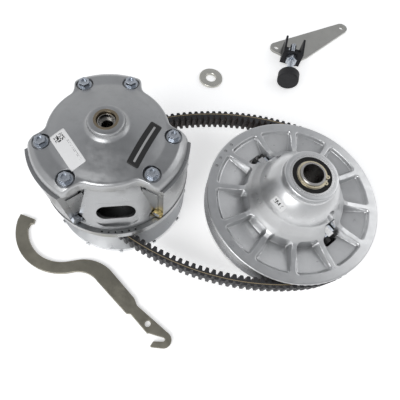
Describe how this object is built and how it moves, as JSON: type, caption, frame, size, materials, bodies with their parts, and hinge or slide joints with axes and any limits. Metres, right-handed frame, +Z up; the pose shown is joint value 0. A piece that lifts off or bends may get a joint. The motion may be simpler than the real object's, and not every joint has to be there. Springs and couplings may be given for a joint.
{
  "type": "continuously variable transmission pulley set",
  "caption": "Drive clutch, driven clutch and cogged belt on parallel axes, with a hook spanner, an adjustable torque stop and a clutch washer.",
  "frame": {"origin": "centre of the drive pulley's crankshaft bore at its lower mouth, on the plane that everything stands on", "axes": "+Z up along both pulley axes, +X from the drive axis to the driven axis"},
  "size_m": [0.5733, 0.7025, 0.2012],
  "materials": {
    "cast_aluminium": "satin as-cast with machined edges",
    "die_cast_aluminium": "bright die-cast, turned faces",
    "machined_steel": "turned",
    "spring_steel": "dark oiled",
    "zinc_steel": "zinc plated",
    "black_steel": "black oxide",
    "tool_steel": "dull stamped",
    "bronze": "sintered",
    "brass": "yellow plated",
    "rubber": "matt",
    "black_plastic": "matt"
  },
  "bodies": {
    "torque_stop": {"stop_plate": "zinc_steel", "stop_channel": "black_steel", "stop_rivets": "zinc_steel"},
    "stop_rod": {"stop_rod": "zinc_steel", "lock_nut": "brass", "rubber_bumper": "rubber"},
    "jam_nut": {"jam_nut": "zinc_steel"},
    "drive": {"drive_fixed_sheave": "cast_aluminium", "drive_post": "machined_steel", "spider": "cast_aluminium", "spider_pins": "machined_steel", "spider_buttons": "black_plastic", "drive_spring": "spring_steel"},
    "idler": {"idler_bearing": "machined_steel"},
    "drive_moving": {"drive_movable_sheave": "cast_aluminium", "sheave_bushing": "bronze", "drive_cover": "cast_aluminium", "cover_bolts": "zinc_steel", "cover_bushing": "bronze", "flyweight_bolts": "black_steel", "flyweight_nuts": "brass"},
    "spider_roller_1": {"spider_roller_1": "machined_steel"},
    "spider_roller_2": {"spider_roller_2": "machined_steel"},
    "spider_roller_3": {"spider_roller_3": "machined_steel"},
    "flyweight_1": {"flyweight_1": "machined_steel"},
    "flyweight_2": {"flyweight_2": "machined_steel"},
    "flyweight_3": {"flyweight_3": "machined_steel"},
    "driven_outer": {"driven_outer_sheave": "die_cast_aluminium", "bearing_outer_race": "machined_steel", "driven_spring": "spring_steel"},
    "driven_inner": {"driven_inner_sheave": "die_cast_aluminium", "slide_blocks": "machined_steel", "slide_pads": "black_plastic", "cam_roller_pins": "machined_steel", "driven_bushing": "bronze"},
    "driven_shaft": {"driven_shaft": "machined_steel", "helix_cam": "die_cast_aluminium", "driven_snap_ring": "spring_steel", "spring_seat": "zinc_steel", "bearing_inner_race": "bronze"},
    "bearing_cage": {"bearing_balls": "machined_steel", "bearing_seals": "rubber"},
    "cam_roller_1": {"cam_roller_1": "black_plastic"},
    "cam_roller_2": {"cam_roller_2": "black_plastic"},
    "cam_roller_3": {"cam_roller_3": "black_plastic"},
    "belt": {"drive_belt": "rubber"},
    "spanner": {"hook_spanner": "tool_steel"},
    "washer": {"clutch_washer": "zinc_steel"}
  },
  "joints": [
    {"name": "drive_spin", "type": "hinge", "parent": "torque_stop", "child": "drive", "pos_m": [0, 0, 0], "axis": [0, 0, 1], "continuous": true},
    {"name": "drive_shift", "type": "slide", "parent": "drive", "child": "drive_moving", "axis": [0, 0, -1], "range_m": [0, 0.02], "stiffness_N_per_m": 32600, "springref_m": -0.0164, "deforming": ["drive_spring"]},
    {"name": "idler_spin", "type": "hinge", "parent": "drive", "child": "idler", "pos_m": [0, 0, 0.048], "axis": [0, 0, 1], "continuous": true},
    {"name": "spider_roller_1_spin", "type": "hinge", "parent": "drive", "child": "spider_roller_1", "pos_m": [-0.01183, 0.06086, 0.118], "axis": [-0.9816, -0.1908, 0], "continuous": true},
    {"name": "spider_roller_2_spin", "type": "hinge", "parent": "drive", "child": "spider_roller_2", "pos_m": [-0.04679, -0.04068, 0.118], "axis": [0.6561, -0.7547, 0], "continuous": true},
    {"name": "spider_roller_3_spin", "type": "hinge", "parent": "drive", "child": "spider_roller_3", "pos_m": [0.05862, -0.02019, 0.118], "axis": [0.3256, 0.9455, 0], "continuous": true},
    {"name": "flyweight_1_swing", "type": "hinge", "parent": "drive_moving", "child": "flyweight_1", "pos_m": [-0.01565, 0.08049, 0.101], "axis": [-0.9816, -0.1908, 0], "range_deg": [0, 30]},
    {"name": "flyweight_2_swing", "type": "hinge", "parent": "drive_moving", "child": "flyweight_2", "pos_m": [-0.06189, -0.0538, 0.101], "axis": [0.6561, -0.7547, 0], "range_deg": [0, 30]},
    {"name": "flyweight_3_swing", "type": "hinge", "parent": "drive_moving", "child": "flyweight_3", "pos_m": [0.07753, -0.0267, 0.101], "axis": [0.3256, 0.9455, 0], "range_deg": [0, 30]},
    {"name": "driven_spin", "type": "hinge", "parent": "torque_stop", "child": "driven_outer", "pos_m": [0.263, 0, 0], "axis": [0, 0, 1], "continuous": true},
    {"name": "driven_shift", "type": "slide", "parent": "driven_outer", "child": "driven_inner", "axis": [0, 0, -1], "range_m": [0, 0.0202], "stiffness_N_per_m": 9000, "springref_m": -0.022, "deforming": ["driven_spring"]},
    {"name": "helix_turn", "type": "hinge", "parent": "driven_outer", "child": "driven_shaft", "pos_m": [0.263, 0, 0], "axis": [0, 0, 1], "range_deg": [0, 28.5]},
    {"name": "bearing_turn", "type": "hinge", "parent": "driven_outer", "child": "bearing_cage", "pos_m": [0.263, 0, 0.1278], "axis": [0, 0, 1], "range_deg": [0, 14.5]},
    {"name": "cam_roller_1_spin", "type": "hinge", "parent": "driven_inner", "child": "cam_roller_1", "pos_m": [0.287, 0, 0.09], "axis": [1, 0, 0], "continuous": true},
    {"name": "cam_roller_2_spin", "type": "hinge", "parent": "driven_inner", "child": "cam_roller_2", "pos_m": [0.251, 0.02079, 0.09], "axis": [-0.5, 0.866, 0], "continuous": true},
    {"name": "cam_roller_3_spin", "type": "hinge", "parent": "driven_inner", "child": "cam_roller_3", "pos_m": [0.251, -0.02079, 0.09], "axis": [-0.5, -0.866, 0], "continuous": true},
    {"name": "belt_shift", "type": "slide", "parent": "torque_stop", "child": "belt", "axis": [-0.9657, 0, -0.2595], "range_m": [0, 0.0335]},
    {"name": "stop_adjust", "type": "slide", "parent": "torque_stop", "child": "stop_rod", "axis": [-0.1564, -0.9877, 0], "range_m": [-0.008, 0.012]},
    {"name": "jam_nut_turn", "type": "hinge", "parent": "torque_stop", "child": "jam_nut", "pos_m": [0.2905, 0.36, 0.021], "axis": [-0.1564, -0.9877, 0], "range_deg": [-1700, 2500]},
    {"name": "spanner_lift", "type": "slide", "parent": "torque_stop", "child": "spanner", "axis": [0, 0, 1], "range_m": [0, 0.15]},
    {"name": "washer_lift", "type": "slide", "parent": "torque_stop", "child": "washer", "axis": [0, 0, 1], "range_m": [0, 0.15]}
  ],
  "couplings": [
    {"joint": "flyweight_1_swing", "follows": "drive_shift", "rad_per_m": 25},
    {"joint": "flyweight_2_swing", "follows": "drive_shift", "rad_per_m": 25},
    {"joint": "flyweight_3_swing", "follows": "drive_shift", "rad_per_m": 25},
    {"joint": "driven_shift", "follows": "drive_shift", "ratio": 1},
    {"joint": "helix_turn", "follows": "drive_shift", "rad_per_m": 24.435},
    {"joint": "bearing_turn", "follows": "drive_shift", "rad_per_m": 12.217},
    {"joint": "belt_shift", "follows": "drive_shift", "ratio": 1.6568},
    {"joint": "driven_spin", "follows": "drive_spin", "ratio": 0.325},
    {"joint": "jam_nut_turn", "follows": "stop_adjust", "rad_per_m": 3590.4}
  ]
}
